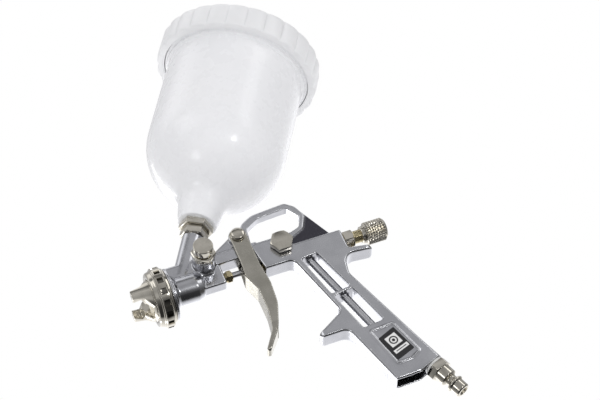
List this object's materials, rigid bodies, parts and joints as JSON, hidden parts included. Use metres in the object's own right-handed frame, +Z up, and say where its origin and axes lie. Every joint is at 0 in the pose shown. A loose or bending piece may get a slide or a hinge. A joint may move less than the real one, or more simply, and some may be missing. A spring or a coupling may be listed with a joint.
{
  "type": "hvlp spray gun",
  "caption": "Gravity-feed HVLP spray gun with a tilted plastic paint cup, working trigger, needle and air valve, fan and fluid knobs, and a quick-coupling air inlet.",
  "frame": {"origin": "where a hook bears, at the top of the hanging loop, on the gun's middle plane", "axes": "-X is the spray direction, along the needle; +Z is up with the needle level; +Y is across the gun, away from the fan control knob"},
  "size_m": [0.1824, 0.112, 0.3316],
  "materials": {
    "cast_aluminium": "polished die casting",
    "nickel": "warm nickel plate",
    "nickel_trigger": "satin nickel plate",
    "brass": "machined",
    "steel": "ground",
    "cup_plastic": "milky, slightly glossy",
    "lid_plastic": "milky, slightly glossy",
    "seal": "white seal plastic",
    "rubber": "matt",
    "label": "printed film"
  },
  "bodies": {
    "gun": {"gun_body": "cast_aluminium", "fluid_nozzle": "nickel", "air_distributor": "brass", "needle_packing": "seal", "packing_screw": "brass", "needle_spring": "steel", "spring_housing": "brass", "rear_lock_nut": "nickel", "air_valve_seat": "brass", "air_valve_gland": "brass", "air_valve_seal": "seal", "air_valve_spring": "steel", "air_passage_plug": "nickel", "plug_washer": "rubber", "fan_control_nut": "nickel", "pivot_screw": "nickel", "pivot_nut": "nickel", "cup_lock_nut": "nickel", "inlet_nipple": "nickel", "inlet_washer": "seal", "handle_label": "label"},
    "retaining_ring": {"air_cap_ring": "nickel"},
    "cap": {"air_cap": "nickel"},
    "trigger_lever": {"trigger": "nickel_trigger"},
    "needle": {"fluid_needle": "steel", "needle_collar": "brass"},
    "air_valve": {"air_valve_stem": "brass", "air_valve_washer": "rubber"},
    "fluid_control": {"fluid_knob": "nickel"},
    "fan_control": {"fan_control_stem": "brass", "fan_control_knob": "nickel"},
    "paint_cup": {"cup": "cup_plastic", "cup_adapter": "nickel", "cup_gasket": "seal", "cup_inner_nut": "brass", "paint_filter": "seal"},
    "liner": {"lid_liner": "lid_plastic"},
    "lid": {"cup_lid": "lid_plastic"},
    "vent": {"lid_vent_plug": "lid_plastic"}
  },
  "joints": [
    {"name": "ring_turn", "type": "hinge", "parent": "gun", "child": "retaining_ring", "pos_m": [-0.088, 0, -0.0349], "axis": [-1, 0, 0], "continuous": true},
    {"name": "cap_turn", "type": "hinge", "parent": "gun", "child": "cap", "pos_m": [-0.093, 0, -0.0349], "axis": [-1, 0, 0], "range_deg": [-90, 90]},
    {"name": "trigger_pull", "type": "hinge", "parent": "gun", "child": "trigger_lever", "pos_m": [-0.028, 0, -0.0113], "axis": [0, -1, 0], "range_deg": [0, 16], "stiffness_Nm_per_rad": 1.5, "springref_deg": -8.59},
    {"name": "needle_slide", "type": "slide", "parent": "gun", "child": "needle", "axis": [1, 0, 0], "range_m": [0, 0.0057], "stiffness_N_per_m": 250, "springref_m": -0.006, "deforming": ["needle_spring"]},
    {"name": "air_valve_slide", "type": "slide", "parent": "gun", "child": "air_valve", "axis": [1, 0, 0], "range_m": [0, 0.0067], "stiffness_N_per_m": 250, "springref_m": -0.004, "deforming": ["air_valve_spring"]},
    {"name": "fluid_knob_turn", "type": "hinge", "parent": "gun", "child": "fluid_control", "pos_m": [0.056, 0, -0.0349], "axis": [1, 0, 0], "range_deg": [0, 1080]},
    {"name": "fan_knob_turn", "type": "hinge", "parent": "gun", "child": "fan_control", "pos_m": [-0.0557, -0.024, -0.0239], "axis": [0, -1, 0], "range_deg": [0, 540]},
    {"name": "cup_turn", "type": "hinge", "parent": "gun", "child": "paint_cup", "pos_m": [-0.0765, 0, -0.0349], "axis": [0.5225, 0, 0.8526], "range_deg": [0, 1440]},
    {"name": "lid_lift", "type": "slide", "parent": "paint_cup", "child": "liner", "axis": [0.5225, 0, 0.8526], "range_m": [0, 0.03]},
    {"name": "lid_turn", "type": "hinge", "parent": "liner", "child": "lid", "pos_m": [-0.0765, 0, -0.0349], "axis": [0.5225, 0, 0.8526], "continuous": true},
    {"name": "vent_pull", "type": "slide", "parent": "lid", "child": "vent", "axis": [0.5225, 0, 0.8526], "range_m": [0, 0.008]}
  ],
  "couplings": [
    {"joint": "needle_slide", "follows": "trigger_pull", "m_per_rad": 0.02},
    {"joint": "air_valve_slide", "follows": "trigger_pull", "m_per_rad": 0.0236}
  ]
}
